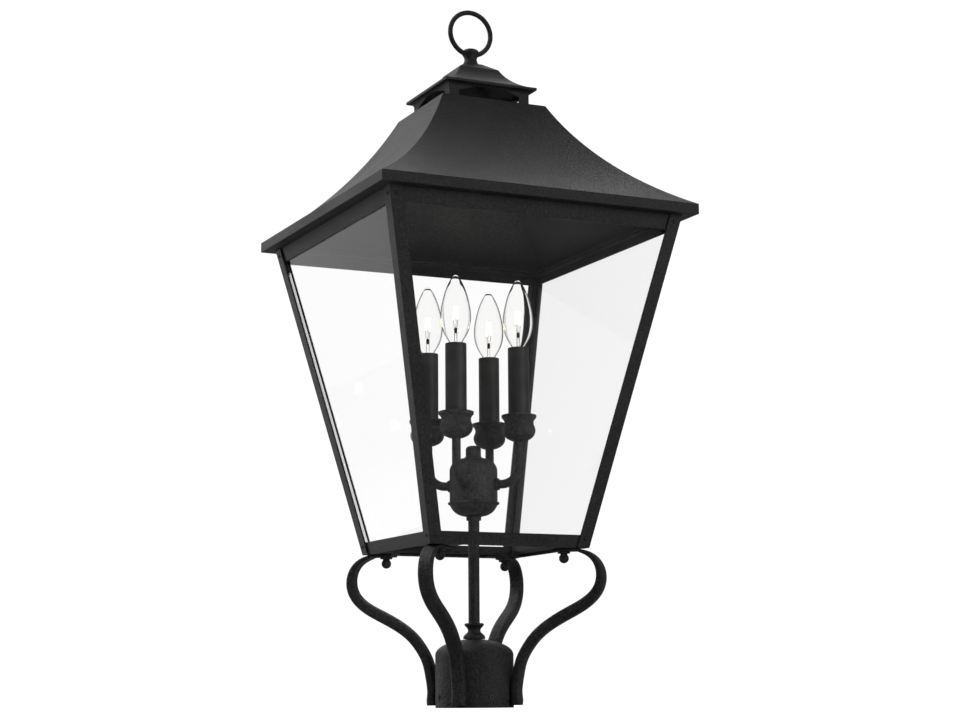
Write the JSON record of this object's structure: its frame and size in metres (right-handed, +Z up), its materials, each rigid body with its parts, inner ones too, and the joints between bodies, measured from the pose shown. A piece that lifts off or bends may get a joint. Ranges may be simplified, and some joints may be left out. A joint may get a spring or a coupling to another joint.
{
  "type": "post-top street lantern",
  "caption": "Square tapered post-top lantern with clear panes, a hollow-curved vented roof, a finial hoop, a candle cluster and scroll legs on a round post socket.",
  "frame": {"origin": "centre of the post socket, on its bottom rim", "axes": "+Z up along the post, -Y the front face, -X the left face"},
  "size_m": [0.3596, 0.3596, 0.7642],
  "materials": {
    "black_coat": "fine sand texture, satin black",
    "sleeve_black": "satin black sleeve",
    "pane_glass": "clear",
    "lamp_glass": "clear",
    "lamp_brass": "bright rolled thread",
    "holder_plastic": "moulded phenolic",
    "black_steel": "black oxide",
    "plain_steel": "zinc plated"
  },
  "bodies": {
    "lantern": {"arm_collars": "black_coat", "ball_screws": "black_coat", "bottom_rail_back": "black_coat", "bottom_rail_front": "black_coat", "bottom_rail_left": "black_coat", "bottom_rail_right": "black_coat", "candle_arm_back_left": "black_coat", "candle_arm_back_right": "black_coat", "candle_arm_front_left": "black_coat", "candle_arm_front_right": "black_coat", "candle_cup_back_left": "black_coat", "candle_cup_back_right": "black_coat", "candle_cup_front_left": "black_coat", "candle_cup_front_right": "black_coat", "candle_sleeve_back_left": "sleeve_black", "candle_sleeve_back_right": "sleeve_black", "candle_sleeve_front_left": "sleeve_black", "candle_sleeve_front_right": "sleeve_black", "corner_gussets": "black_coat", "corner_post_back_left": "black_coat", "corner_post_back_right": "black_coat", "corner_post_front_left": "black_coat", "corner_post_front_right": "black_coat", "finial_hoop": "black_coat", "finial_spool": "black_coat", "frame_rivets": "black_coat", "glass_pane_back": "pane_glass", "glass_pane_front": "pane_glass", "glass_pane_left": "pane_glass", "glass_pane_right": "pane_glass", "hub_body": "black_coat", "hub_bowl": "black_coat", "hub_knob": "black_coat", "lamp_holders": "holder_plastic", "post_socket": "black_coat", "roof_shell": "black_coat", "scroll_leg_back_left": "black_coat", "scroll_leg_back_right": "black_coat", "scroll_leg_front_left": "black_coat", "scroll_leg_front_right": "black_coat", "stem_collar": "black_coat", "stem_locknut": "plain_steel", "stem_tube": "black_coat", "top_frame": "black_coat", "vent_cap": "black_coat", "vent_cupola": "black_coat"},
    "bulb_front_left": {"bulb_glass_front_left": "lamp_glass", "bulb_base_front_left": "lamp_brass"},
    "bulb_front_right": {"bulb_glass_front_right": "lamp_glass", "bulb_base_front_right": "lamp_brass"},
    "bulb_back_right": {"bulb_glass_back_right": "lamp_glass", "bulb_base_back_right": "lamp_brass"},
    "bulb_back_left": {"bulb_glass_back_left": "lamp_glass", "bulb_base_back_left": "lamp_brass"},
    "screw_front": {"set_screw_front": "black_steel"},
    "screw_right": {"set_screw_right": "black_steel"},
    "screw_back": {"set_screw_back": "black_steel"},
    "screw_left": {"set_screw_left": "black_steel"}
  },
  "joints": [
    {"name": "bulb_unscrew_front_left", "type": "slide", "parent": "lantern", "child": "bulb_front_left", "axis": [0, 0, 1], "range_m": [0, 0.026]},
    {"name": "bulb_unscrew_front_right", "type": "slide", "parent": "lantern", "child": "bulb_front_right", "axis": [0, 0, 1], "range_m": [0, 0.026]},
    {"name": "bulb_unscrew_back_right", "type": "slide", "parent": "lantern", "child": "bulb_back_right", "axis": [0, 0, 1], "range_m": [0, 0.026]},
    {"name": "bulb_unscrew_back_left", "type": "slide", "parent": "lantern", "child": "bulb_back_left", "axis": [0, 0, 1], "range_m": [0, 0.026]},
    {"name": "set_screw_turn_front", "type": "slide", "parent": "lantern", "child": "screw_front", "axis": [0, 1, 0], "range_m": [-0.001, 0.0025]},
    {"name": "set_screw_turn_right", "type": "slide", "parent": "lantern", "child": "screw_right", "axis": [-1, 0, 0], "range_m": [-0.001, 0.0025]},
    {"name": "set_screw_turn_back", "type": "slide", "parent": "lantern", "child": "screw_back", "axis": [0, -1, 0], "range_m": [-0.001, 0.0025]},
    {"name": "set_screw_turn_left", "type": "slide", "parent": "lantern", "child": "screw_left", "axis": [1, 0, 0], "range_m": [-0.001, 0.0025]}
  ]
}
